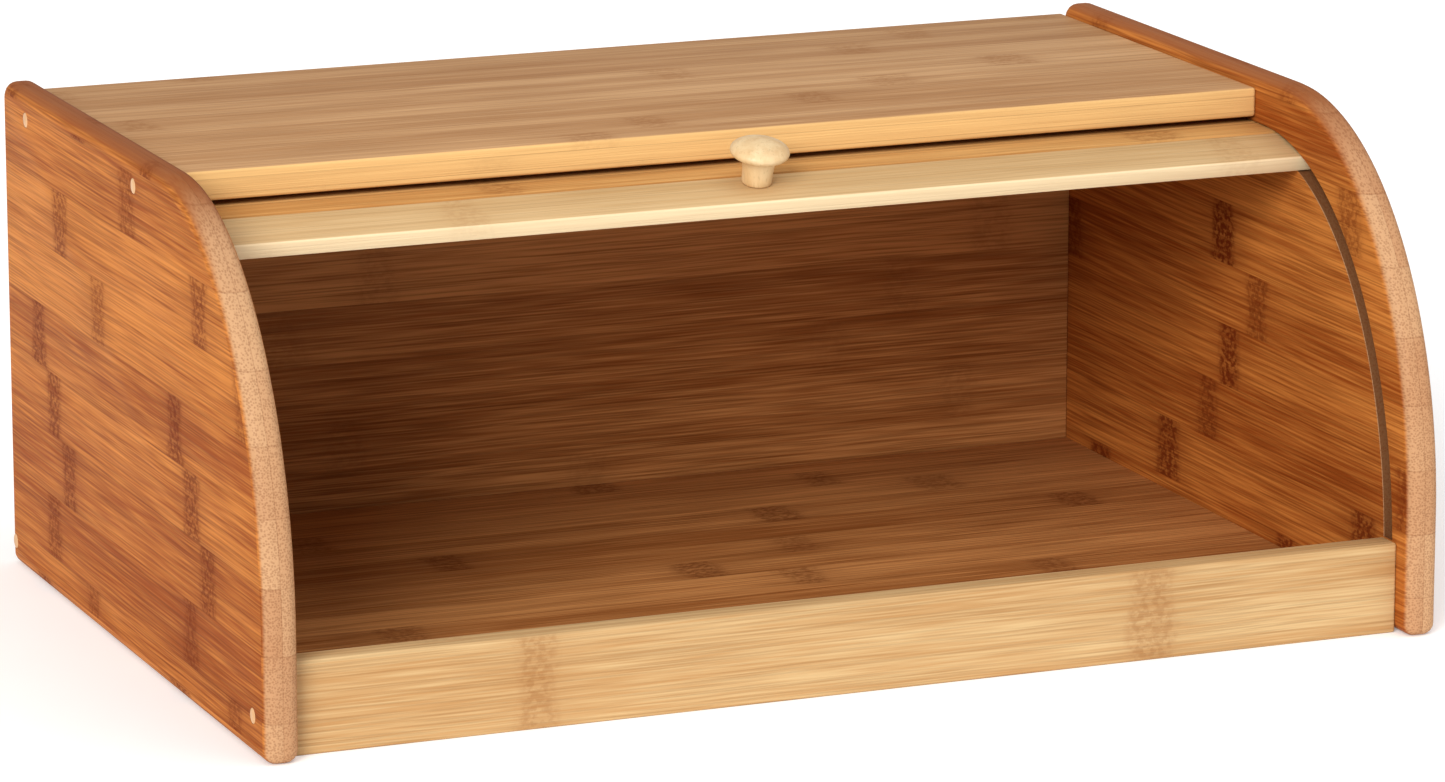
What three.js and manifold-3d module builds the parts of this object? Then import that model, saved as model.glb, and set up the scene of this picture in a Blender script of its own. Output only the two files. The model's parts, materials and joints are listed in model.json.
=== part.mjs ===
// Bread box with a roll top: a bamboo case with a tambour door, drawn with the door rolled open.
// Millimetres, +Z up. The origin is under the middle of the case, on the surface it stands on.
// Sections are drawn in the Y-Z plane, with Y measured from the front face of the side panels.
import * as THREE from 'three';
import { mergeVertices } from 'three/addons/utils/BufferGeometryUtils.js';
import Module from 'manifold-3d';

// Case
const WIDTH = 400;
const DEPTH = 268;
const HEIGHT = 165.5;
const SIDE_THICKNESS = 11;
const FRONT_STRAIGHT = 40;        // height of the side panel's straight front edge
const FRONT_SWEEP = 100;          // depth over which the front edge curves up to the top
const EDGE_ROUND = 2.5;           // rounding along the side panel's edges
const REAR_CORNER = 6;            // rounding of the side panel's rear top corner
const FOOT_CORNER = 4;            // rounding of its two lower corners
const TOP_THICKNESS = 9.9;
const TOP_STEP = 4.1;             // how far the side panels stand above the top board
const TOP_SETBACK = 15;           // top board's front edge behind the end of the sweep
const BACK_THICKNESS = 8.5;
const FLOOR_THICKNESS = 9;
const RAIL_THICKNESS = 9.4;
const RAIL_HEIGHT = 30;
const RAIL_RECESS = 8.5;          // front rail behind the side panels' front edges
const JOINT_GAP = 0.3;            // between pieces that are glued or lie on each other

// Dowels
const DOWEL_RADIUS = 2.5;
const DOWEL_LENGTH = 32;
const TOP_DOWEL_SETBACK = 9;      // from the top board's front edge
const TOP_DOWEL_REAR = 27;        // from its rear edge
const RAIL_DOWEL_HEIGHT = 13;
const BACK_DOWEL_HEIGHT = 8;

// Roll door
const SLAT_COUNT = 11;            // beside the lead slat
const SLAT_THICKNESS = 5;
const SLAT_CHAMFER = 0.8;
const LEAD_WIDTH = 19.8;
const LEAD_SHOW = 13.3;           // lead slat's rear edge in front of the top board when open
const HINGE_GAP = 0.4;            // between neighbouring slats on the canvas
const CANVAS_THICKNESS = 0.5;
const CANVAS_MARGIN = 12;         // bare end of each slat beside the canvas
const LEAD_CANVAS = 14;           // how far the canvas reaches under the lead slat
const END_CLEARANCE = 0.6;        // slat end to side panel
const STOP_CLEARANCE = 0.5;       // door to the sill when closed, and to the back panel when open

// Groove: an upright quarter ellipse and a straight run to the back panel
const GROOVE_DEPTH = 5;
const OUTER_PLAY = 0.2;           // outer face of the door to the groove's outer wall
const INNER_PLAY = 0.8;           // inner face of the slats to the groove's inner wall
const GROOVE_LAG = 10;            // start of the straight run behind the end of the sweep
const GROOVE_TURN_HEIGHT = 24;    // level of the ellipse's centre
const GROOVE_INSET = 3.3;         // outer wall at its foremost, behind the front rail's face
const GROOVE_DROP = 1.7;          // outer wall below the top board's underside

// Knob and its screw
const KNOB_RADIUS = 9.8;
const KNOB_HEIGHT = 14.8;
const KNOB_DOME = 3.6;            // rise of the rounded top above the widest part
const KNOB_LIP = 2.3;             // depth of the rounded underside below it
const KNOB_SETBACK = 5.6;         // knob's axis to the lead slat's rear edge
const STEM_RADIUS = 5;            // at its foot
const STEM_FLARE = 0.7;           // how much wider the stem is under the head
const SCREW_RADIUS = 1.6;
const SCREW_HEAD_RADIUS = 3.6;
const SCREW_HEAD_HEIGHT = 1.8;
const SCREW_HEAD_CROWN = 2.5;     // radius of the flat on top of the screw's head
const SCREW_HEAD_SKIRT = 0.6;     // straight edge of the screw's head
const SCREW_LENGTH = 14;

// How finely curves are drawn
const CURVE_STEPS = 24;
const PROFILE_STEPS = 6;
const ROD_SIDES = 20;
const KNOB_SIDES = 32;
const EDGE_STEPS = 2;
const SHORTEST_EDGE = 0.1;
const WELD_DISTANCE = 1e-4;
const HALVINGS = 50;

// Values that follow
const sideInner = WIDTH / 2 - SIDE_THICKNESS;
const boardLength = 2 * (sideInner - JOINT_GAP);
const slatLength = 2 * (sideInner - END_CLEARANCE);
const backFront = DEPTH - BACK_THICKNESS;
const topUpper = HEIGHT - TOP_STEP;
const topUnder = topUpper - TOP_THICKNESS;
const topFront = FRONT_SWEEP + TOP_SETBACK;
const grooveTop = topUnder - GROOVE_DROP;
const grooveTurn = FRONT_SWEEP + GROOVE_LAG;
const grooveReach = grooveTurn - RAIL_RECESS - GROOVE_INSET;
const grooveRise = grooveTop - GROOVE_TURN_HEIGHT;
const grooveWidth = OUTER_PLAY + SLAT_THICKNESS + INNER_PLAY;
const hingeDepth = SLAT_THICKNESS + JOINT_GAP + CANVAS_THICKNESS / 2;
const openRear = backFront - STOP_CLEARANCE;
const slatPitch = (openRear - (topFront - LEAD_SHOW)) / SLAT_COUNT;

const wasm = await Module();
wasm.setup();

const bamboo = (color) => () => new THREE.MeshStandardMaterial({ color, roughness: 0.55, metalness: 0 });
const sideWood = bamboo(0xc4804e);
const topWood = bamboo(0xb78a62);
const innerWood = bamboo(0xaa6e41);
const railWood = bamboo(0xdcb47d);
const leadWood = bamboo(0xdaba8a);
const slatWood = bamboo(0xc8965f);
const paleWood = bamboo(0xf0d7aa);
const canvasCloth = () => new THREE.MeshStandardMaterial({ color: 0xd9cdb4, roughness: 0.95, metalness: 0 });
const steel = () => new THREE.MeshStandardMaterial({ color: 0xb8bcc0, roughness: 0.35, metalness: 1 });

const breadBox = new THREE.Group();
breadBox.name = 'bread_box';

const place = (parent, name, geometry, material, x = 0, y = 0, z = 0) => {
  const mesh = new THREE.Mesh(geometry, material());
  mesh.name = name;
  mesh.position.set(x, y, z);
  parent.add(mesh);
  return mesh;
};

const toSolid = (geometry) => {
  const bare = geometry.clone();
  bare.deleteAttribute('normal');
  bare.deleteAttribute('uv');
  const merged = mergeVertices(bare, WELD_DISTANCE);
  return new wasm.Manifold(new wasm.Mesh({
    numProp: 3,
    vertProperties: new Float32Array(merged.attributes.position.array),
    triVerts: new Uint32Array(merged.index.array),
  }));
};

const toGeometry = (solid) => {
  const mesh = solid.getMesh();
  const geometry = new THREE.BufferGeometry();
  geometry.setAttribute('position', new THREE.BufferAttribute(mesh.vertProperties, 3));
  geometry.setIndex(new THREE.BufferAttribute(mesh.triVerts, 1));
  geometry.computeVertexNormals();
  return geometry;
};

const cut = (geometry, tools) => {
  const left = tools.reduce((solid, tool) => solid.subtract(toSolid(tool)), toSolid(geometry));
  return toGeometry(left);
};

// A Y-Z section extruded along +X from x = 0. The shape's x is depth and its y is height.
const alongX = (shape, length, bevel = { bevelEnabled: false }) => {
  const points = shape.getPoints(CURVE_STEPS);
  const corners = points.filter((point, i) => point.distanceTo(points.at(i - 1)) > SHORTEST_EDGE);
  const geometry = new THREE.ExtrudeGeometry(new THREE.Shape(corners), { depth: length, ...bevel });
  geometry.rotateX(Math.PI / 2);
  geometry.rotateZ(Math.PI / 2);
  return geometry;
};

const rod = (radius, length) => {
  const geometry = new THREE.CylinderGeometry(radius, radius, length, ROD_SIDES);
  geometry.rotateZ(Math.PI / 2);
  return geometry;
};

const board = (x, y, z) => new THREE.BoxGeometry(x, y, z);

// ---- Case ----
const caseGroup = new THREE.Group();
caseGroup.position.y = -DEPTH / 2;
breadBox.add(caseGroup);

const dowelSpots = [
  { board: 'top_front', y: topFront + TOP_DOWEL_SETBACK, z: topUpper - TOP_THICKNESS / 2 },
  { board: 'top_rear', y: DEPTH - TOP_DOWEL_REAR, z: topUpper - TOP_THICKNESS / 2 },
  { board: 'rail', y: RAIL_RECESS + RAIL_THICKNESS / 2, z: RAIL_DOWEL_HEIGHT },
  { board: 'back', y: DEPTH - BACK_THICKNESS / 2, z: BACK_DOWEL_HEIGHT },
];

const dowelCentre = WIDTH / 2 - DOWEL_LENGTH / 2;

// Holes for the dowels of both ends, in a geometry centred at depth y and height z.
const dowelHoles = (names, y, z) => dowelSpots
  .filter((spot) => names.includes(spot.board))
  .flatMap((spot) => [-1, 1].map((side) => rod(DOWEL_RADIUS + JOINT_GAP, DOWEL_LENGTH + 2 * JOINT_GAP)
    .translate(side * dowelCentre, spot.y - y, spot.z - z)));

const sideOutline = () => {
  const shape = new THREE.Shape();
  shape.absarc(FOOT_CORNER, FOOT_CORNER, FOOT_CORNER, -Math.PI / 2, -Math.PI, true);
  shape.lineTo(0, FRONT_STRAIGHT);
  shape.absellipse(FRONT_SWEEP, FRONT_STRAIGHT, FRONT_SWEEP, HEIGHT - FRONT_STRAIGHT,
    Math.PI, Math.PI / 2, true);
  shape.lineTo(DEPTH - REAR_CORNER, HEIGHT);
  shape.absarc(DEPTH - REAR_CORNER, HEIGHT - REAR_CORNER, REAR_CORNER, Math.PI / 2, 0, true);
  shape.absarc(DEPTH - FOOT_CORNER, FOOT_CORNER, FOOT_CORNER, 0, -Math.PI / 2, true);
  return shape;
};

// The groove's section, from the sill up the front, round and straight back to the back panel.
const grooveOutline = () => {
  const innerReach = grooveReach - grooveWidth;
  const innerRise = grooveRise - grooveWidth;
  const endAngle = (rise) => Math.PI - Math.asin((RAIL_HEIGHT - GROOVE_TURN_HEIGHT) / rise);
  const shape = new THREE.Shape();
  shape.moveTo(backFront, grooveTop - grooveWidth);
  shape.lineTo(backFront, grooveTop);
  shape.absellipse(grooveTurn, GROOVE_TURN_HEIGHT, grooveReach, grooveRise,
    Math.PI / 2, endAngle(grooveRise), false);
  shape.absellipse(grooveTurn, GROOVE_TURN_HEIGHT, innerReach, innerRise,
    endAngle(innerRise), Math.PI / 2, true);
  return shape;
};

const sidePanel = (side) => {
  const blank = alongX(sideOutline(), SIDE_THICKNESS - 2 * EDGE_ROUND, {
    bevelEnabled: true, bevelSize: EDGE_ROUND, bevelThickness: EDGE_ROUND,
    bevelOffset: -EDGE_ROUND, bevelSegments: EDGE_STEPS,
  });
  blank.translate(-SIDE_THICKNESS / 2 + EDGE_ROUND, 0, 0);
  const groove = alongX(grooveOutline(), 2 * GROOVE_DEPTH);
  groove.translate(-side * SIDE_THICKNESS / 2 - GROOVE_DEPTH, 0, 0);
  const centre = side * (WIDTH / 2 - SIDE_THICKNESS / 2);
  const holes = dowelSpots.map((spot) => rod(DOWEL_RADIUS + JOINT_GAP, 2 * SIDE_THICKNESS)
    .translate(0, spot.y, spot.z));
  const name = side < 0 ? 'side_panel_left' : 'side_panel_right';
  place(caseGroup, name, cut(blank, [groove, ...holes]), sideWood, centre);
};

const drilledBoard = (name, [y0, y1], [z0, z1], dowels, material) => {
  const y = (y0 + y1) / 2;
  const z = (z0 + z1) / 2;
  const geometry = cut(board(boardLength, y1 - y0, z1 - z0), dowelHoles(dowels, y, z));
  place(caseGroup, name, geometry, material, 0, y, z);
};

const carcass = () => {
  const railRear = RAIL_RECESS + RAIL_THICKNESS;
  const floorDepths = [railRear + JOINT_GAP, backFront - JOINT_GAP];
  sidePanel(-1);
  sidePanel(1);
  drilledBoard('top_board', [topFront, DEPTH], [topUnder, topUpper], ['top_front', 'top_rear'], topWood);
  drilledBoard('back_panel', [backFront, DEPTH], [0, topUnder - JOINT_GAP], ['back'], innerWood);
  drilledBoard('front_rail', [RAIL_RECESS, railRear], [0, RAIL_HEIGHT], ['rail'], railWood);
  drilledBoard('floor_board', floorDepths, [0, FLOOR_THICKNESS], [], innerWood);
  for (const spot of dowelSpots) {
    for (const side of [-1, 1]) {
      const name = `dowel_${spot.board}_${side < 0 ? 'left' : 'right'}`;
      const dowel = rod(DOWEL_RADIUS, DOWEL_LENGTH);
      place(caseGroup, name, dowel, paleWood, side * dowelCentre, spot.y, spot.z);
    }
  }
};

// ---- Roll door ----
// The canvas line: u >= 0 runs back along the straight, u < 0 comes down the ellipse.
const canvasReach = grooveReach - OUTER_PLAY - hingeDepth;
const canvasRise = grooveRise - OUTER_PLAY - hingeDepth;

const onCanvasLine = (u) => {
  if (u >= 0) return new THREE.Vector2(grooveTurn + u, GROOVE_TURN_HEIGHT + canvasRise);
  const turn = -u / canvasRise;
  const forward = canvasReach * Math.sin(turn);
  return new THREE.Vector2(grooveTurn - forward, GROOVE_TURN_HEIGHT + canvasRise * Math.cos(turn));
};

// The value of u whose point lies one chord from the point at u, towards the front (-1) or rear (1).
const stepAlong = (u, chord, way) => {
  const start = onCanvasLine(u);
  let near = 0;
  let far = 2 * chord;
  for (let i = 0; i < HALVINGS; i += 1) {
    const middle = (near + far) / 2;
    if (onCanvasLine(u + way * middle).distanceTo(start) < chord) near = middle;
    else far = middle;
  }
  return u + way * near;
};

const chords = [...Array(SLAT_COUNT).fill(slatPitch), LEAD_WIDTH];

// Hinge points from the rear edge to the nose, with the rear edge at u.
const hingePoints = (rear) => {
  const stops = [rear];
  for (const chord of chords) stops.push(stepAlong(stops.at(-1), chord, -1));
  return stops.map(onCanvasLine);
};

// Where the rear edge lies when the nose rests on the sill.
const closedRear = () => {
  const level = (RAIL_HEIGHT + STOP_CLEARANCE - GROOVE_TURN_HEIGHT) / canvasRise;
  const nose = -canvasRise * Math.acos(level);
  return [...chords].reverse().reduce((u, chord) => stepAlong(u, chord, 1), nose);
};

const tilts = (points) => points.slice(1).map((point, i) => {
  const run = point.clone().sub(points[i]);
  return Math.atan2(-run.y, -run.x);
});

const slatSection = (width) => {
  const low = CANVAS_THICKNESS / 2 + JOINT_GAP;
  const high = low + SLAT_THICKNESS;
  const rear = -HINGE_GAP / 2;
  const front = rear - width;
  const shape = new THREE.Shape();
  shape.moveTo(rear, low);
  shape.lineTo(rear, high - SLAT_CHAMFER);
  shape.lineTo(rear - SLAT_CHAMFER, high);
  shape.lineTo(front + SLAT_CHAMFER, high);
  shape.lineTo(front, high - SLAT_CHAMFER);
  shape.lineTo(front, low);
  return shape;
};

// Reaches well past both faces of the lead slat.
const screwHole = () => {
  const radius = SCREW_RADIUS + JOINT_GAP;
  const geometry = new THREE.CylinderGeometry(radius, radius, 2 * SCREW_LENGTH, ROD_SIDES);
  geometry.rotateX(Math.PI / 2);
  return geometry.translate(0, -KNOB_SETBACK, 0);
};

const slat = (frame, name, width, clothLength, material, tools) => {
  const clothWidth = 2 * (sideInner - CANVAS_MARGIN);
  const wood = alongX(slatSection(width), slatLength).translate(-slatLength / 2, 0, 0);
  const cloth = board(clothWidth, clothLength, CANVAS_THICKNESS)
    .translate(0, -(clothLength + HINGE_GAP) / 2, 0);
  place(frame, name, cut(wood, tools), material);
  place(frame, `canvas_${name}`, cut(cloth, tools), canvasCloth);
};

// The knob stands on the lead slat's outer face; its profile is radius against height.
const knobProfile = () => {
  const boreTop = SCREW_LENGTH - SLAT_THICKNESS;
  const widest = KNOB_HEIGHT - KNOB_DOME;
  const stemTop = STEM_RADIUS + STEM_FLARE;
  const path = new THREE.Path();
  path.absellipse(0, widest, KNOB_RADIUS, KNOB_DOME, Math.PI / 2, 0, true);
  path.absellipse(stemTop, widest, KNOB_RADIUS - stemTop, KNOB_LIP, 0, -Math.PI / 2, true);
  path.quadraticCurveTo(STEM_RADIUS, widest / 2, STEM_RADIUS, 0);
  path.lineTo(SCREW_RADIUS + JOINT_GAP, 0);
  path.lineTo(SCREW_RADIUS + JOINT_GAP, boreTop);
  path.lineTo(0, boreTop);
  const points = path.getPoints(PROFILE_STEPS).reverse();
  points.at(-1).x = 0; // exactly on the axis
  return points;
};

const screwProfile = () => [
  [0, -SCREW_HEAD_HEIGHT],
  [SCREW_HEAD_CROWN, -SCREW_HEAD_HEIGHT],
  [SCREW_HEAD_RADIUS, -SCREW_HEAD_SKIRT],
  [SCREW_HEAD_RADIUS, 0],
  [SCREW_RADIUS, 0],
  [SCREW_RADIUS, SCREW_LENGTH - SCREW_RADIUS],
  [0, SCREW_LENGTH],
].map(([radius, height]) => new THREE.Vector2(radius, height));

const knobWithScrew = (frame) => {
  const knob = new THREE.LatheGeometry(knobProfile(), KNOB_SIDES);
  const screw = new THREE.LatheGeometry(screwProfile(), ROD_SIDES);
  const face = CANVAS_THICKNESS / 2 + 2 * JOINT_GAP + SLAT_THICKNESS;
  const under = -CANVAS_THICKNESS / 2 - JOINT_GAP;
  knob.rotateX(Math.PI / 2);
  screw.rotateX(Math.PI / 2);
  place(frame, 'knob', knob, paleWood, 0, -KNOB_SETBACK, face);
  place(frame, 'knob_screw', screw, steel, 0, -KNOB_SETBACK, under);
};

const rollDoor = () => {
  const openPlace = openRear - grooveTurn;
  const shutPlace = closedRear();
  const open = hingePoints(openPlace);
  const openTilt = tilts(open);
  const shutTilt = tilts(hingePoints(shutPlace));
  const hinges = [];
  chords.forEach((chord, i) => {
    const isLead = i === SLAT_COUNT;
    const name = isLead ? 'lead_slat' : `slat_${String(SLAT_COUNT - i).padStart(2, '0')}`;
    const frame = new THREE.Group();
    frame.position.set(0, open[i].x - DEPTH / 2, open[i].y);
    frame.rotation.x = openTilt[i];
    breadBox.add(frame);
    const width = chord - HINGE_GAP;
    if (isLead) {
      slat(frame, name, width, LEAD_CANVAS, leadWood, [screwHole()]);
      knobWithScrew(frame);
    } else {
      slat(frame, name, width, width, slatWood, []);
    }
    const turn = i === 0 ? 0 : (shutTilt[i] - shutTilt[i - 1]) - (openTilt[i] - openTilt[i - 1]);
    hinges.push({ name, y: open[i].x - DEPTH / 2, z: open[i].y, turn });
  });
  breadBox.userData = { travel: openPlace - shutPlace, hinges };
};

carcass();
rollDoor();

export default breadBox;
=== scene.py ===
# %% [markdown]
# # A bread box with a roll top
# The box is a small tambour cabinet: two bamboo side panels carry a top board, a back, a floor and a
# low front rail, and a door of narrow slats on canvas rolls along a groove in each side. The packed
# model already holds every piece at its real size, so this lesson only replaces each plain solid with
# a finished one in the same place. It starts by opening that model.

# %% Open the model
import math

import bpy
from mathutils import Matrix, Vector
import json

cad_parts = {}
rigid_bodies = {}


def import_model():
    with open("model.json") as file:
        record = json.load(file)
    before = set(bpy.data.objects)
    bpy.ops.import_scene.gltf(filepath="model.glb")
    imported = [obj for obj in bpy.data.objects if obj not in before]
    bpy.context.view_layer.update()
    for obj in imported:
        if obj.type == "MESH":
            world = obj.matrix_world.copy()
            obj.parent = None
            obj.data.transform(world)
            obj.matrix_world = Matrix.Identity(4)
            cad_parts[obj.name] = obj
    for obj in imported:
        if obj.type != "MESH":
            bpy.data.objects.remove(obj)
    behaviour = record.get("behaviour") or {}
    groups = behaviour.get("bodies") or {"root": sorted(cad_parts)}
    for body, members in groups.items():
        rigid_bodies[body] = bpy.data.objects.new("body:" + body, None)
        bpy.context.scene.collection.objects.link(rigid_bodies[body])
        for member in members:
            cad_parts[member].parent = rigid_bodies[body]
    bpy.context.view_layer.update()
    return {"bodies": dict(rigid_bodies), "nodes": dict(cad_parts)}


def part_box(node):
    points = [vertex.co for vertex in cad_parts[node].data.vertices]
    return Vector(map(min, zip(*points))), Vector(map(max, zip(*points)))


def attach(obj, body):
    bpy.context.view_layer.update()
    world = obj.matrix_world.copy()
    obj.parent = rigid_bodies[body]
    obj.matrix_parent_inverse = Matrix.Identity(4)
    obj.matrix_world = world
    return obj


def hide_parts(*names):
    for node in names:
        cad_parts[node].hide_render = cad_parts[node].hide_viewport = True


for leftover in list(bpy.data.objects):
    bpy.data.objects.remove(leftover)
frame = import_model()

# %% [markdown]
# Lengths are in metres. A maker thinks in millimetres, so one small factor keeps the numbers readable.
# The outline of the sides and the path of the groove are quarter ellipses, described by the same few
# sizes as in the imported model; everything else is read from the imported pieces.

# %% Sizes that shape the case
MM = 0.001
left_low, left_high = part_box("side_panel_left")
right_low, right_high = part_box("side_panel_right")
FRONT, REAR = left_low.y, left_high.y
SIDE_TOP = left_high.z
SIDE_INNER = right_low.x
SIDE_OUTER = right_high.x
FRONT_STRAIGHT = 40 * MM
FRONT_SWEEP = 100 * MM
REAR_CORNER = 6 * MM
FOOT_CORNER = 4 * MM
SIDE_ROUND = 4.4 * MM
GROOVE_DEPTH = 5 * MM
GROOVE_WIDTH = 6 * MM
GROOVE_FRONT = 11.8 * MM
GROOVE_TURN = FRONT + 110 * MM
GROOVE_TURN_HEIGHT = 24 * MM
GROOVE_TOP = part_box("top_board")[0].z - 1.7 * MM
RAIL_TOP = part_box("front_rail")[1].z
BACK_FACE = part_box("back_panel")[0].y
print("side panel", round((REAR - FRONT) / MM), "by", round(SIDE_TOP / MM), "mm")

# %% [markdown]
# Blender's operators act on whatever is selected, as they do by hand, so each step first clears the
# selection. The helpers below are the moves used again and again: begin a piece, work in edit mode,
# add a modifier and apply it, and finish with smooth faces and crisp edges.

# %% Small helpers for modelling
def clear_selection():
    if bpy.context.object and bpy.context.object.mode != "OBJECT":
        bpy.ops.object.mode_set(mode="OBJECT")
    bpy.ops.object.select_all(action="DESELECT")


def work_on(piece):
    clear_selection()
    piece.select_set(True)
    bpy.context.view_layer.objects.active = piece


def add_modifier(piece, kind, **settings):
    work_on(piece)
    modifier = piece.modifiers.new(kind.title(), kind)
    for key, value in settings.items():
        setattr(modifier, key, value)
    bpy.ops.object.modifier_apply(modifier=modifier.name)


def round_edges(piece, width, segments=3, angle=50):
    add_modifier(piece, "BEVEL", width=width, segments=segments, limit_method="ANGLE",
                 angle_limit=math.radians(angle))


def cut_away(piece, cutter):
    add_modifier(piece, "BOOLEAN", operation="DIFFERENCE", solver="EXACT", object=cutter)
    bpy.data.objects.remove(cutter)


def first_point(place):
    """A mesh of one selected point, ready to be pushed along an outline."""
    clear_selection()
    bpy.ops.mesh.primitive_plane_add(size=MM)
    bpy.ops.object.mode_set(mode="EDIT")
    bpy.ops.mesh.select_mode(type="VERT")
    bpy.ops.mesh.select_all(action="SELECT")
    bpy.ops.mesh.merge(type="CENTER")
    bpy.ops.transform.translate(value=place)
    return bpy.context.object


def settle(piece):
    """Writes the object's own place, turn and size into its mesh."""
    work_on(piece)
    bpy.ops.object.transform_apply(location=True, rotation=True, scale=True)


def finish_piece(piece, name, body, material, nodes, smooth=35):
    settle(piece)
    bpy.ops.object.shade_smooth_by_angle(angle=math.radians(smooth))
    piece.name = piece.data.name = name
    piece.data.materials.clear()
    piece.data.materials.append(material)
    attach(piece, body)
    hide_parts(*nodes)
    return piece


def new_block(low, high):
    """A cube primitive stretched between two corners."""
    clear_selection()
    middle = (Vector(low) + Vector(high)) / 2
    bpy.ops.mesh.primitive_cube_add(size=1, location=middle, scale=Vector(high) - Vector(low))
    piece = bpy.context.object
    settle(piece)
    return piece


def new_rod(start, end, radius, sides=32):
    """A cylinder primitive along X."""
    clear_selection()
    middle = (Vector(start) + Vector(end)) / 2
    length = (Vector(end) - Vector(start)).length
    bpy.ops.mesh.primitive_cylinder_add(vertices=sides, radius=radius, depth=length, location=middle,
                                        rotation=(0, math.pi / 2, 0))
    piece = bpy.context.object
    settle(piece)
    return piece

print("helpers ready")

# %% [markdown]
# A side panel starts as a drawn outline. One corner of a plane is kept and pushed round the outline
# point by point, which leaves a closed wire; the wire is filled and the face is pushed sideways to give
# the board its thickness. The same move draws the cutter for the groove.

# %% Draw an outline and give it thickness
def arc(centre, radii, start, end, steps):
    """Points of an ellipse about centre, from one angle to another, in degrees."""
    turns = [math.radians(start + (end - start) * i / steps) for i in range(steps + 1)]
    return [(centre[0] + radii[0] * math.cos(t), centre[1] + radii[1] * math.sin(t)) for t in turns]


def drawn_plate(outline, x_from, x_to):
    """A plate between two X planes. The outline holds (y, z) pairs."""
    piece = first_point((x_from, *outline[0]))
    for (y0, z0), (y1, z1) in zip(outline, outline[1:]):
        bpy.ops.mesh.extrude_region_move(TRANSFORM_OT_translate={"value": (0, y1 - y0, z1 - z0)})
    bpy.ops.object.mode_set(mode="OBJECT")
    ends = (piece.data.vertices[0], piece.data.vertices[len(outline) - 1])
    for vertex in ends:
        vertex.select = True
    bpy.ops.object.mode_set(mode="EDIT")
    bpy.ops.mesh.edge_face_add()
    bpy.ops.mesh.select_all(action="SELECT")
    bpy.ops.mesh.edge_face_add()
    bpy.ops.mesh.extrude_region_move(TRANSFORM_OT_translate={"value": (x_to - x_from, 0, 0)})
    bpy.ops.mesh.select_all(action="SELECT")
    bpy.ops.mesh.normals_make_consistent(inside=False)
    bpy.ops.object.mode_set(mode="OBJECT")
    return piece

print("an outline is drawn in the Y-Z plane and pushed along X")

# %% [markdown]
# Shader maths is easier to read as ordinary sums. Wire wraps one socket and turns +, -, * and / into
# Math nodes, and Paint keeps one material with a single method that adds any node.

# %% A readable way to write shaders
class Wire:
    """One output socket of a shader tree."""

    def __init__(self, paint, socket):
        self.paint = paint
        self.socket = socket

    def maths(self, operation, *others):
        inputs = dict(enumerate((self, *others)))
        return self.paint.node("ShaderNodeMath", {"operation": operation}, inputs)

    def __add__(self, other):
        return self.maths("ADD", other)

    def __mul__(self, other):
        return self.maths("MULTIPLY", other)

    def __sub__(self, other):
        return self.maths("SUBTRACT", other)

    def __truediv__(self, other):
        return self.maths("DIVIDE", other)

    def __rsub__(self, other):
        return self * -1 + other

    __radd__ = __add__
    __rmul__ = __mul__

    def step(self, low, high):
        """0 below low, 1 above high, smooth in between; the other way round when low is the larger."""
        rising = min(low, high), max(low, high)
        ends = (0, 1) if low < high else (1, 0)
        return self.paint.node("ShaderNodeMapRange", {"interpolation_type": "SMOOTHSTEP"},
                               {0: self, 1: rising[0], 2: rising[1], 3: ends[0], 4: ends[1]})


class Paint:
    """One material and its shader tree."""

    def __init__(self, name):
        self.material = bpy.data.materials.new(name)
        self.material.use_nodes = True
        self.tree = self.material.node_tree
        self.shader = self.tree.nodes["Principled BSDF"]

    def node(self, kind, settings=None, inputs=None, output=0):
        made = self.tree.nodes.new(kind)
        for key, value in (settings or {}).items():
            setattr(made, key, value)
        for key, value in (inputs or {}).items():
            self.feed(made.inputs[key], value)
        return Wire(self, made.outputs[output])

    def feed(self, socket, value):
        if isinstance(value, Wire):
            self.tree.links.new(value.socket, socket)
        else:
            socket.default_value = value

    def place(self):
        """X, Y and Z of the surface, in metres."""
        spot = self.node("ShaderNodeTexCoord", output="Object")
        parts = self.node("ShaderNodeSeparateXYZ", inputs={0: spot})
        return [Wire(self, out) for out in parts.socket.node.outputs]

    def facing(self):
        """How far the surface faces along X, Y and Z, each from 0 to 1."""
        normal = self.node("ShaderNodeTexCoord", output="Normal")
        parts = self.node("ShaderNodeSeparateXYZ", inputs={0: normal})
        return [Wire(self, out).maths("ABSOLUTE") for out in parts.socket.node.outputs]

    def vector(self, x, y, z):
        return self.node("ShaderNodeCombineXYZ", inputs={0: x, 1: y, 2: z})

    def noise(self, vector, detail):
        inputs = {"Vector": vector, "Scale": 1.0, "Detail": detail, "Roughness": 0.55, "Distortion": 0.0}
        return self.node("ShaderNodeTexNoise", {"noise_dimensions": "3D"}, inputs)

    def cells(self, vector):
        """How far the place lies from the middle of its cell: 0 in the middle, about 0.7 at the rim."""
        inputs = {"Vector": vector, "Scale": 1.0, "Randomness": 0.85}
        return self.node("ShaderNodeTexVoronoi", {"voronoi_dimensions": "3D", "feature": "F1"}, inputs)

    def chance(self, x, y, z):
        """A fixed random number from 0 to 1 for each whole-number place."""
        inputs = {"Vector": self.vector(x, y, z)}
        return self.node("ShaderNodeTexWhiteNoise", {"noise_dimensions": "3D"}, inputs)

    def mix(self, factor, first, second):
        return self.node("ShaderNodeMix", {"data_type": "RGBA", "blend_type": "MIX"},
                         {0: factor, 6: first, 7: second}, output=2)

    def bump(self, height, depth):
        return self.node("ShaderNodeBump", inputs={"Strength": 1.0, "Distance": depth, "Height": height})

    def surface(self, **sockets):
        for key, value in sockets.items():
            self.feed(self.shader.inputs[key.replace("_", " ")], value)
        return self.material


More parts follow.
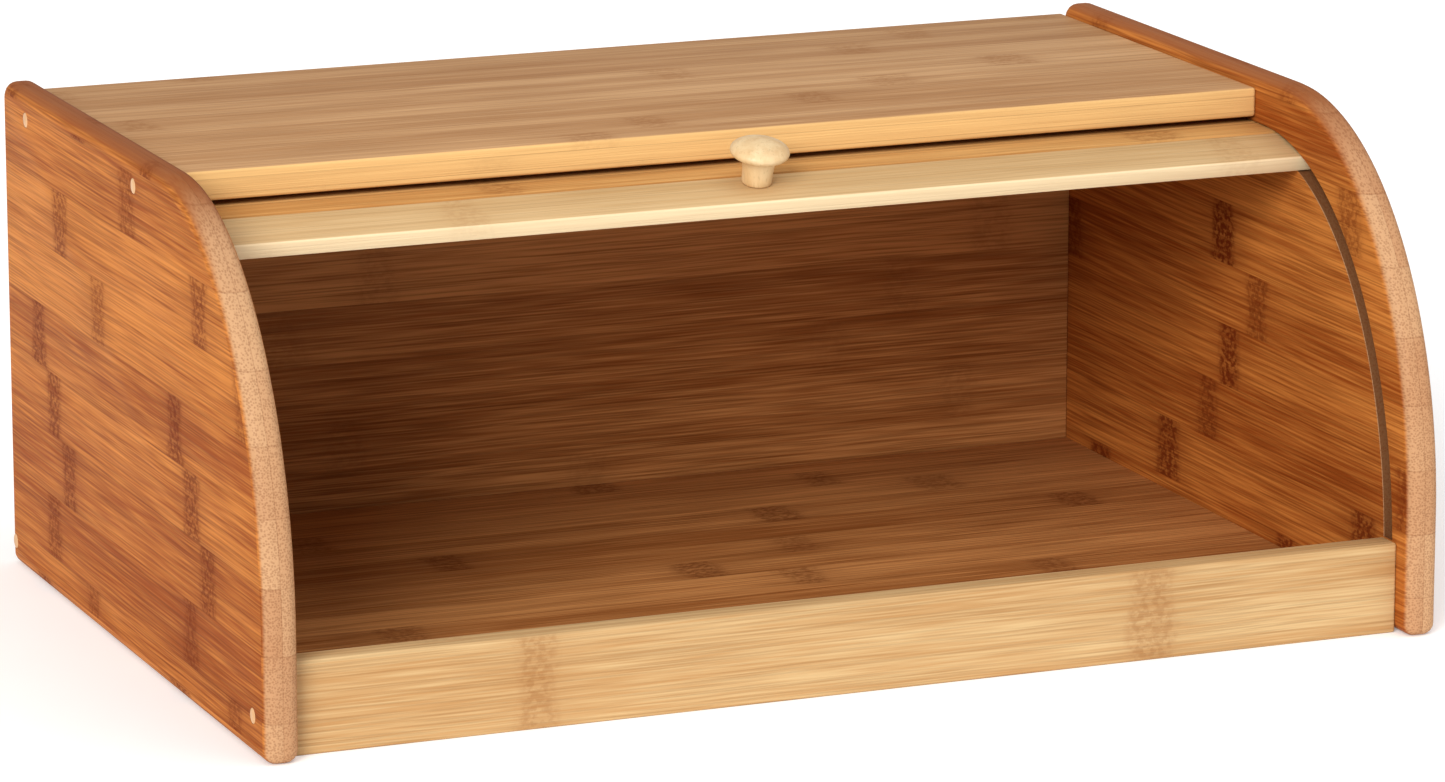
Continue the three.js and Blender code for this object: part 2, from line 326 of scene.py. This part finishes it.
def tone(red, green, blue):
    """A display colour from 0 to 255 as the linear colour that a shader needs."""
    def linear(value):
        value /= 255
        return value / 12.92 if value <= 0.04045 else ((value + 0.055) / 1.055) ** 2.4
    return (linear(red), linear(green), linear(blue), 1.0)

print("shader kit ready")

# %% [markdown]
# Laminated bamboo is split into strips, planed square, steamed until it browns and glued edge to edge.
# Each strip has its own tone, fine fibre bundles run along it, and every 15 to 30 cm it crosses one of
# the cane's knuckles, which shows as a short dark speckled band. The pattern is built in three
# dimensions, so the ends of the boards show the same fibres as dots without any extra work. The groove
# is routed through both plies; its walls and floor get a darker tone of their own, painted shade for the
# recess, and the long edges of some boards get painted light and shade.

# %% Bamboo
FIBRES_PER_METRE = 1400
HAIRS_PER_METRE = 1250
STREAKS_PER_METRE = 330
KNUCKLE = 10 * MM
KNUCKLE_HALO = 22 * MM
STRIP_SEAM = 0.35 * MM
PLY_SEAM = 0.25 * MM
TIGHTEST_SEAM = 0.05 * MM


def seam(laid, width, reach):
    """A fine line where one strip, width wide, ends and the next one begins."""
    from_middle = (laid.maths("FRACT") - 0.5).maths("ABSOLUTE")
    return from_middle.step(0.5 - reach / width, 0.5 - TIGHTEST_SEAM / width)


def groove_shade_mask(place):
    """Where the painted groove shade goes: 1 on the walls and the floor of the routed groove and 0 elsewhere
    on a side panel.
    """
    x, y, z = place
    depth = x.maths("ABSOLUTE") - SIDE_INNER
    forward = ((FRONT + FRONT_SWEEP - y) / FRONT_SWEEP).maths("MAXIMUM", 0.0)
    upward = ((z - FRONT_STRAIGHT) / (SIDE_TOP - FRONT_STRAIGHT)).maths("MAXIMUM", 0.0)
    inside_rim = (forward * forward + upward * upward).step(0.87, 0.84)
    before_back = y.step(BACK_FACE + 4 * MM, BACK_FACE + 1 * MM)
    above_rail = z.step(RAIL_TOP - 3 * MM, RAIL_TOP)
    below_face = depth.step(0.1 * MM, 0.4 * MM) * depth.step(7 * MM, 6 * MM)
    return below_face * (inside_rim * before_back * above_rail)


def bamboo(name, grain, across, ply, light, deep, knuckle, edge=None, end=None, groove=None,
           strip=20 * MM, thickness=5.5 * MM, shift=0.0, ply_shift=0.0, spacing=0.16, contrast=1.0,
           knuckle_strength=0.8):
    """grain, across and ply are the axes (0 X, 1 Y, 2 Z) along the strip, over its width and through it.
    end is the tone of its cut ends; edge is a tone for its long edges that holds their calmer grain and
    painted light and shade, and groove is painted shade for a routed groove."""
    paint = Paint(name)
    place = paint.place()
    facing = paint.facing()
    along, over, through = place[grain], place[across], place[ply]
    strips = over / strip + 50.37 + shift
    plies = through.maths("ABSOLUTE") / thickness - ply_shift
    row = strips.maths("FLOOR")
    layer = (plies.maths("FLOOR") + 0.5) * through.maths("SIGN")
    luck = paint.chance(row, layer, 3.7)
    second_luck = paint.chance(row + 11, layer, 5.1)

    # Fibres: broad bands, long streaks, fine hairs and the dark cores of the fibre bundles
    def grained(length, width, shuffle=0.0, detail=2):
        return paint.noise(paint.vector(along * length, over * width, through * width + shuffle), detail)

    bands = grained(3, 70, luck * 90)
    streaks = grained(9, STREAKS_PER_METRE, luck * 40, detail=3)
    hairs = grained(30, HAIRS_PER_METRE, detail=1)
    mottle = grained(14, 24)
    warp = (grained(12, 20, detail=1) - 0.5) * 3
    bundles = paint.vector(along * 11, over * FIBRES_PER_METRE + warp, through * FIBRES_PER_METRE + warp)
    cores = paint.cells(bundles).step(0.62, 0.22)

    # One knuckle in each strip every so often, at a place of its own: dark specks in a soft band
    turn = (along / spacing + second_luck * 3 + luck * 7).maths("FRACT")
    specks = paint.noise(paint.vector(along * 420, over * 560, through * 560), detail=2).step(0.40, 0.60)
    waver = (bands - 0.5) * (9 * MM) + (mottle - 0.5) * (6 * MM)
    away = (turn - 0.5).maths("ABSOLUTE") * spacing + waver
    knot = away.step(KNUCKLE, 4 * MM) * (0.30 + 0.70 * specks)
    halo = away.step(KNUCKLE_HALO, 5 * MM) * 0.6

    wander = (bands - 0.5) * 0.9 + (streaks - 0.5) * 0.6 * contrast + (hairs - 0.5) * 1.2 * contrast
    colour = paint.mix(((luck - 0.5) * 0.42 * contrast + wander + 0.5).step(0.0, 1.0), light, deep)
    darker = tuple(0.48 * value for value in deep[:3]) + (1.0,)
    colour = paint.mix(cores * 0.38 * contrast, colour, darker)
    colour = paint.mix((mottle - 0.5).step(0.0, 0.5) * 0.22, colour, deep)
    # Long edges: a calmer grain, and painted light and shade that make them lighter or darker as the light
    # falls on faces turned that way
    if edge:
        edge_light_and_shade = paint.mix((wander + 0.5).step(0.0, 1.0) * 0.35, edge, deep)
        colour = paint.mix(facing[across].step(0.40, 0.80) * 0.9, colour, edge_light_and_shade)
    end_on = facing[grain].step(0.15, 0.60)
    mark = (knot * knuckle_strength + halo * 0.45 * knuckle_strength).maths("MINIMUM", 1.0)
    flat = (1 - end_on) * (1 - facing[across] * 0.7) * (0.55 + second_luck * 0.45)
    colour = paint.mix(mark * flat, colour, knuckle)
    if end:
        end_tone = paint.mix(luck * 0.28 + (mottle - 0.5).step(0.0, 0.4) * 0.25, end, deep)
        colour = paint.mix(end_on, colour, paint.mix(cores * 0.34, end_tone, darker))

    # The glue lines between strips and between plies
    ply_line = seam(plies, thickness, PLY_SEAM) * (1 - facing[ply].step(0.5, 0.9))
    lines = seam(strips, strip, STRIP_SEAM).maths("MAXIMUM", ply_line)
    colour = paint.mix(lines * 0.22, colour, darker)
    # Painted shade: the walls and floor of the routed groove get a darker tone for the shade in the recess
    if groove:
        groove_shade_tone = paint.mix(cores * 0.3 + hairs * 0.3, groove, darker)
        colour = paint.mix(groove_shade_mask(place), colour, groove_shade_tone)

    height = hairs * 0.5 + (1 - cores) * 0.4 - lines * 0.3
    rough = 0.5 + (streaks - 0.5) * 0.2 + knot * 0.1
    return paint.surface(Base_Color=colour, Roughness=rough, Normal=paint.bump(height, 0.10 * MM),
                         Coat_Weight=0.03, Coat_Roughness=0.3, Specular_IOR_Level=0.02)

X, Y, Z = 0, 1, 2
# For the sides, the groove tone is painted shade in the groove and the edge tone is painted shade on the top
# rim
side_finish = bamboo("side_bamboo", Y, Z, X, tone(209, 132, 62), tone(146, 71, 25), tone(106, 41, 14),
                     edge=tone(150, 92, 56), end=tone(200, 156, 116), groove=tone(124, 84, 54), strip=21 * MM,
                     ply_shift=0.3636, spacing=0.145)
# The top board's edge tone is a painted highlight on its front and back edges
top_finish = bamboo("top_bamboo", X, Y, Z, tone(214, 170, 124), tone(166, 118, 76), tone(136, 84, 46),
                    edge=tone(238, 194, 128), strip=19 * MM, thickness=4.95 * MM, contrast=0.55,
                    knuckle_strength=0.35, spacing=0.31)
inner_finish = bamboo("inner_bamboo", X, Y, Z, tone(208, 146, 88), tone(146, 86, 42), tone(108, 56, 26),
                      strip=20 * MM, thickness=20 * MM, knuckle_strength=0.6, spacing=0.23)
rail_finish = bamboo("rail_bamboo", X, Z, Y, tone(216, 186, 138), tone(184, 138, 88), tone(150, 98, 54),
                     strip=40 * MM, thickness=4.7 * MM, contrast=0.7, knuckle_strength=0.55, spacing=0.21,
                     shift=0.63)
# The lead slat's edge tone is a painted highlight on its nose and rear edge
lead_finish = bamboo("lead_bamboo", X, Y, Z, tone(216, 184, 138), tone(190, 149, 98), tone(164, 114, 66),
                     edge=tone(246, 224, 184), strip=60 * MM, thickness=60 * MM, contrast=0.5,
                     knuckle_strength=0.4, spacing=0.27)
slat_finish = bamboo("slat_bamboo", X, Y, Z, tone(222, 172, 108), tone(182, 124, 66), tone(138, 82, 40),
                     strip=14.3 * MM, thickness=60 * MM, contrast=0.7, knuckle_strength=0.5, spacing=0.23)
print("bamboo finishes", 6)

# %% [markdown]
# The knob and the dowels are an ordinary pale hardwood: close, even grain with a little flecking. The
# grain of the knob runs up its axis, and the dowel ends show it as faint rings.

# %% Pale wood, canvas and steel
def pale_wood(name, grain, light, deep):
    paint = Paint(name)
    place = paint.place()
    stretch = [420 if axis != grain else 22 for axis in range(3)]
    fine = paint.noise(paint.vector(*(place[i] * stretch[i] for i in range(3))), detail=4)
    broad = paint.noise(paint.vector(*(place[i] * stretch[i] * 0.28 for i in range(3))), detail=2)
    flecks = paint.noise(paint.vector(*(place[i] * stretch[i] * 3 for i in range(3))), detail=1)
    colour = paint.mix((fine * 0.6 + broad * 0.6 - 0.1).step(0.2, 0.8), light, deep)
    colour = paint.mix(flecks.step(0.60, 0.72) * 0.25, colour, tuple(0.55 * v for v in deep[:3]) + (1.0,))
    return paint.surface(Base_Color=colour, Roughness=0.4 + fine * 0.12, Normal=paint.bump(fine, 0.05 * MM),
                         Coat_Weight=0.15, Coat_Roughness=0.3)


def woven_canvas(name):
    """Plain weave: warp and weft take turns on top, with slubs along each yarn."""
    paint = Paint(name)
    x, y, z = paint.place()
    yarn = 0.9 * MM
    warp = (x * (math.pi / yarn)).maths("SINE")
    weft = ((y + z * 0.4) * (math.pi / yarn)).maths("SINE")
    weave = (warp * weft) * 0.5 + 0.5
    ridges = warp.maths("ABSOLUTE").maths("MAXIMUM", weft.maths("ABSOLUTE"))
    slubs = paint.noise(paint.vector(x * 700, y * 120, z * 120), detail=2)
    colour = paint.mix(weave * 0.5 + slubs * 0.5, tone(236, 226, 202), tone(196, 182, 150))
    # Painted shade: the gaps between the yarns get a darker tone
    colour = paint.mix(ridges.step(0.75, 0.2), colour, tone(140, 124, 96))
    return paint.surface(Base_Color=colour, Roughness=0.9 - ridges * 0.08,
                         Normal=paint.bump(ridges + weave * 0.4, 0.15 * MM))


def zinc_steel(name):
    paint = Paint(name)
    x, y, z = paint.place()
    turned = paint.noise(paint.vector(x * 900, y * 900, z * 2600), detail=3)
    patches = paint.noise(paint.vector(x * 300, y * 300, z * 300), detail=2)
    colour = paint.mix(patches, tone(196, 200, 204), tone(150, 152, 150))
    return paint.surface(Base_Color=colour, Metallic=1.0, Roughness=0.26 + turned * 0.2,
                         Normal=paint.bump(turned, 0.02 * MM))

dowel_finish = pale_wood("dowel_wood", X, tone(224, 176, 120), tone(202, 148, 94))
knob_finish = pale_wood("knob_wood", Z, tone(230, 202, 156), tone(210, 170, 118))
canvas_finish = woven_canvas("canvas")
steel_finish = zinc_steel("steel")
print("pale wood, canvas and steel")

# %% [markdown]
# The side panels come first, because everything else meets them. Rounding the rim before the groove is
# cut keeps the groove's own edges crisp, as a router leaves them. The groove stops at the front rail
# and runs on to the back panel.

# %% Side panels
def side_outline():
    rim = SIDE_TOP - FRONT_STRAIGHT
    points = arc((FRONT + FOOT_CORNER, FOOT_CORNER), (FOOT_CORNER, FOOT_CORNER), 270, 180, 5)
    points += arc((FRONT + FRONT_SWEEP, FRONT_STRAIGHT), (FRONT_SWEEP, rim), 180, 90, 60)
    points += arc((REAR - REAR_CORNER, SIDE_TOP - REAR_CORNER), (REAR_CORNER, REAR_CORNER), 90, 0, 8)
    points += arc((REAR - FOOT_CORNER, FOOT_CORNER), (FOOT_CORNER, FOOT_CORNER), 0, -90, 5)
    return points


def groove_outline():
    centre = (GROOVE_TURN, GROOVE_TURN_HEIGHT)
    deep = GROOVE_TURN - FRONT - GROOVE_FRONT
    high = GROOVE_TOP - GROOVE_TURN_HEIGHT
    start = RAIL_TOP - GROOVE_TURN_HEIGHT
    outer_end = 180 - math.degrees(math.asin(start / high))
    inner_end = 180 - math.degrees(math.asin(start / (high - GROOVE_WIDTH)))
    points = [(BACK_FACE, GROOVE_TOP - GROOVE_WIDTH), (BACK_FACE, GROOVE_TOP)]
    points += arc(centre, (deep, high), 90, outer_end, 60)
    points += arc(centre, (deep - GROOVE_WIDTH, high - GROOVE_WIDTH), inner_end, 90, 60)
    return points

DOWELS = [name for name in frame["nodes"] if name.startswith("dowel_")]
DOWEL_FIT = 0.08 * MM
DRILL_PAST = 0.3 * MM


def drill(piece, dowels, fit=DOWEL_FIT):
    for name in dowels:
        low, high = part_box(name)
        middle = (low + high) / 2
        reach = Vector(((high.x - low.x) / 2 + DRILL_PAST, 0, 0))
        cut_away(piece, new_rod(middle - reach, middle + reach, (high.z - low.z) / 2 + fit))


def side_panel(name, inner, outer):
    piece = drawn_plate(side_outline(), inner, outer)
    round_edges(piece, SIDE_ROUND, segments=5)
    away = math.copysign(GROOVE_DEPTH, outer)
    cut_away(piece, drawn_plate(groove_outline(), inner - away, inner + away))
    side = name.rsplit("_", 1)[1]
    drill(piece, [dowel for dowel in DOWELS if dowel.endswith(side)])
    return finish_piece(piece, name, "case", side_finish, [name])

for name, sign in (("side_panel_left", -1), ("side_panel_right", 1)):
    panel = side_panel(name, sign * SIDE_INNER, sign * SIDE_OUTER)
    print(name, len(panel.data.polygons), "faces")

# %% [markdown]
# The boards between the sides are planed stock with their sharp edges just broken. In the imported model
# they stop a hair short of the sides; here they reach them, as glued boards do.

# %% Top, back, floor and front rail
def board(name, finish, edge_round, dowels=()):
    low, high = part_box(name)
    piece = new_block((-SIDE_INNER, low.y, low.z), (SIDE_INNER, high.y, high.z))
    round_edges(piece, edge_round, segments=4)
    drill(piece, [dowel for dowel in DOWELS if dowel.startswith(dowels)] if dowels else [])
    return finish_piece(piece, name, "case", finish, [name])

board("top_board", top_finish, 1.1 * MM, ("dowel_top",))
board("back_panel", inner_finish, 0.6 * MM, ("dowel_back",))
board("floor_board", inner_finish, 0.4 * MM)
board("front_rail", rail_finish, 0.9 * MM, ("dowel_rail",))
print("boards", 4)

# %% [markdown]
# Eight dowels pin the boards to the sides. Only their sanded ends show, as pale dots, so each rod gets
# a slightly broken end edge that catches a fine dark ring around it.

# %% Dowels
for name in DOWELS:
    low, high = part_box(name)
    middle_y, middle_z = (low.y + high.y) / 2, (low.z + high.z) / 2
    rod = new_rod((low.x, middle_y, middle_z), (high.x, middle_y, middle_z), (high.z - low.z) / 2)
    round_edges(rod, 0.25 * MM, segments=2)
    finish_piece(rod, name, "case", dowel_finish, [name])
print("dowels", len(DOWELS))

# %% [markdown]
# The door is twelve slats on canvas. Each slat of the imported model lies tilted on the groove's path, so
# its own middle, size and tilt are read from its mesh: the largest upward face gives the tilt. The slats
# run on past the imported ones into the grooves, where they slide.

# %% Read how each slat lies
def lie_of(node, tilt=None):
    """The middle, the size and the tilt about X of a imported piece; a flat piece shows its own tilt."""
    mesh = frame["nodes"][node].data
    if tilt is None:
        top = max((face for face in mesh.polygons if face.normal.z > 0.3), key=lambda face: face.area)
        tilt = math.atan2(-top.normal.y, top.normal.z)
    unturn = Matrix.Rotation(-tilt, 3, "X")
    corners = [unturn @ vertex.co for vertex in mesh.vertices]
    low = Vector([min(corner[i] for corner in corners) for i in range(3)])
    high = Vector([max(corner[i] for corner in corners) for i in range(3)])
    return Matrix.Rotation(tilt, 3, "X") @ ((low + high) / 2), high - low, tilt


def lay_down(piece, middle, tilt):
    """Tilts a piece made about the origin and carries it to its place."""
    piece.rotation_euler = (tilt, 0, 0)
    piece.location = middle
    settle(piece)

DOOR = [body for body in frame["bodies"] if body != "case"]
print("door bodies", len(DOOR), "lead tilt", round(math.degrees(lie_of("lead_slat")[2]), 1))

# %% Slats
SLAT_REACH = GROOVE_DEPTH - 0.7 * MM
SLAT_CHAMFER = 0.8 * MM


def slat(body):
    middle, size, tilt = lie_of(body)
    half = Vector((SIDE_INNER + SLAT_REACH, size.y / 2, size.z / 2))
    piece = new_block(-half, half)
    bpy.ops.object.mode_set(mode="EDIT")
    bpy.ops.mesh.select_all(action="DESELECT")
    bpy.ops.mesh.select_mode(type="EDGE")
    bpy.ops.object.mode_set(mode="OBJECT")
    vertices = piece.data.vertices
    for edge in piece.data.edges:
        ends = [vertices[i].co for i in edge.vertices]
        edge.select = all(end.z > 0 for end in ends) and abs(ends[0].y - ends[1].y) < MM
    bpy.ops.object.mode_set(mode="EDIT")
    bpy.ops.mesh.bevel(offset=SLAT_CHAMFER, segments=3, affect="EDGES")
    bpy.ops.object.mode_set(mode="OBJECT")
    round_edges(piece, 0.25 * MM, segments=2)
    lay_down(piece, middle, tilt)
    if body == "lead_slat":
        return finish_piece(piece, body, body, lead_finish, [body])
    return finish_piece(piece, body, body, slat_finish, [body])

for body in DOOR:
    slat(body)
print("slats", len(DOOR))

# %% [markdown]
# One sheet of canvas is glued across the inner faces of all the slats and is the door's only hinge. It
# can bend only at the lines between slats, so it is made in one strip per slat, each reaching exactly
# from hinge line to hinge line: the strips meet on the lines about which the slats turn.

# %% Canvas
HINGE_GAP = 0.4 * MM


def canvas(body):
    node = f"canvas_{body}"
    middle, size, tilt = lie_of(node)
    pitch = size.y + (0 if body == "lead_slat" else HINGE_GAP)
    clear_selection()
    bpy.ops.mesh.primitive_grid_add(x_subdivisions=60, y_subdivisions=4, size=1)
    piece = bpy.context.object
    piece.scale = (size.x, pitch, 1)
    settle(piece)
    add_modifier(piece, "SOLIDIFY", thickness=size.z, offset=0)
    lay_down(piece, middle, tilt)
    finish_piece(piece, node, body, canvas_finish, [node])

for body in DOOR:
    canvas(body)
print("canvas strips", len(DOOR))

# %% [markdown]
# The knob is turned on a lathe, which is exactly what a spin does: half its outline is drawn and swung
# once round its axis. A subdivision surface then softens the few drawn corners into turned curves. It
# stands square on the lead slat and is held by a screw from behind.

# %% Turn the knob and its screw
def turned(profile, steps, levels=0):
    """A solid of revolution about Z. The profile holds (radius, height) pairs."""
    piece = first_point((profile[0][0], 0, profile[0][1]))
    for (r0, h0), (r1, h1) in zip(profile, profile[1:]):
        bpy.ops.mesh.extrude_region_move(TRANSFORM_OT_translate={"value": (r1 - r0, 0, h1 - h0)})
    bpy.ops.mesh.select_all(action="SELECT")
    bpy.ops.mesh.spin(steps=steps, angle=math.tau, center=(0, 0, 0), axis=(0, 0, 1))
    bpy.ops.mesh.select_all(action="SELECT")
    bpy.ops.mesh.remove_doubles(threshold=0.01 * MM)
    bpy.ops.mesh.normals_make_consistent(inside=False)
    bpy.ops.object.mode_set(mode="OBJECT")
    if levels:
        add_modifier(piece, "SUBSURF", levels=levels, render_levels=levels)
    return piece


STEM_FOOT = 5.0 * MM
STEM_HEAD = 5.7 * MM
KNOB_DOME = 3.6 * MM
KNOB_LIP = 2.3 * MM


def knob_profile(height, radius):
    """Heights are from the slat's face: a stem that widens upward, a rounded lip and a low dome."""
    widest = height - KNOB_DOME
    stem = [(0, 0), (STEM_FOOT - 0.3 * MM, 0), (STEM_FOOT, 0.3 * MM), (STEM_FOOT, widest * 0.25),
            (STEM_FOOT + 0.2 * MM, widest * 0.55)]
    lip = arc((STEM_HEAD, widest), (radius - STEM_HEAD, KNOB_LIP), -90, 0, 6)
    dome = arc((0, widest), (radius, KNOB_DOME), 0, 90, 9)
    return stem + lip + dome[1:-1] + [(0, height)]

lead_tilt = lie_of("lead_slat")[2]
outward = Matrix.Rotation(lead_tilt, 3, "X") @ Vector((0, 0, 1))
PACKED_GAP = 0.3 * MM
knob_middle, knob_size, _ = lie_of("knob", lead_tilt)
knob_foot = knob_middle - outward * (knob_size.z / 2 + PACKED_GAP)
knob = turned(knob_profile(knob_size.z, knob_size.x / 2), 40, levels=1)
lay_down(knob, knob_foot, lead_tilt)
finish_piece(knob, "knob", "lead_slat", knob_finish, ["knob"], smooth=60)

SCREW_HEAD = 3.6 * MM
SCREW_SHANK = 1.6 * MM
HEAD_HEIGHT = 1.8 * MM
POINT_LENGTH = 2 * MM
SLOT_HALF = 0.4 * MM
SLOT_FLOOR = -0.9 * MM
HEAD_CLEARANCE = 0.05 * MM
screw_middle, screw_size, _ = lie_of("knob_screw", lead_tilt)
tip = screw_size.z - HEAD_HEIGHT
head_curve = [(0, -HEAD_HEIGHT), (2.3 * MM, -1.75 * MM), (3.3 * MM, -1.0 * MM), (SCREW_HEAD, -0.1 * MM)]
shank = [(SCREW_HEAD, 0), (SCREW_SHANK, 0), (SCREW_SHANK, tip - POINT_LENGTH), (0, tip)]
screw = turned(head_curve + shank, 32)
cut_away(screw, new_block((-4 * MM, -SLOT_HALF, -3 * MM), (4 * MM, SLOT_HALF, SLOT_FLOOR)))
seat = screw_middle + outward * (HEAD_HEIGHT - screw_size.z / 2 + PACKED_GAP - HEAD_CLEARANCE)
lay_down(screw, seat, lead_tilt)
finish_piece(screw, "knob_screw", "lead_slat", steel_finish, ["knob_screw"])
print("knob", len(knob.data.polygons), "faces, tilt", round(math.degrees(lead_tilt), 1))

# %% [markdown]
# The picture is a plain product shot: a white table, large soft lights and a long lens a little above
# and to the left of the box. The long lens keeps the verticals nearly parallel. The table glows very
# faintly, so that it stays white beside the warm wood.

# %% Table, light and camera
clear_selection()
bpy.ops.mesh.primitive_plane_add(size=12, location=(0, 0, 0))
table = bpy.context.object
table.name = "table"
table_paint = Paint("table_white")
soft_grain = table_paint.noise(table_paint.vector(*(axis * 40 for axis in table_paint.place())), detail=2)
table.data.materials.append(table_paint.surface(
    Base_Color=table_paint.mix(soft_grain, tone(250, 250, 250), tone(247, 247, 247)), Roughness=0.9,
    Emission_Color=(1.0, 1.0, 1.0, 1.0), Emission_Strength=0.2))


def sun(name, strength, direction, spread, colour=(1, 1, 1)):
    """A far, soft light; direction is the way its light travels."""
    data = bpy.data.lights.new(name, "SUN")
    data.energy = strength
    data.angle = math.radians(spread)
    data.color = colour
    lamp = bpy.data.objects.new(name, data)
    bpy.context.scene.collection.objects.link(lamp)
    lamp.rotation_euler = Vector(direction).to_track_quat("-Z", "Y").to_euler()


sun("key", 2.45, (0.60, 0.66, -0.46), 30, (1.0, 0.985, 0.95))
sun("top_fill", 0.9, (-0.25, 0.30, -0.92), 60)
world = bpy.data.worlds.new("studio")
world.use_nodes = True
world.node_tree.nodes["Background"].inputs["Color"].default_value = (1, 1, 1, 1)
world.node_tree.nodes["Background"].inputs["Strength"].default_value = 0.45
bpy.context.scene.world = world
bpy.context.scene.view_settings.view_transform = "Standard"

CAMERA_PLACE = (-0.8323, -2.0335, 0.5884)
CAMERA_TURN = 0.3903
CAMERA_DIP = 0.2316
camera_data = bpy.data.cameras.new("camera")
camera_data.lens = 171
camera_data.clip_start = 0.05
camera = bpy.data.objects.new("camera", camera_data)
camera.location = CAMERA_PLACE
camera.rotation_euler = (math.pi / 2 - CAMERA_DIP, 0, -CAMERA_TURN)
bpy.context.scene.collection.objects.link(camera)
bpy.context.scene.camera = camera
print("camera at", CAMERA_PLACE)

# %% Finish
import json
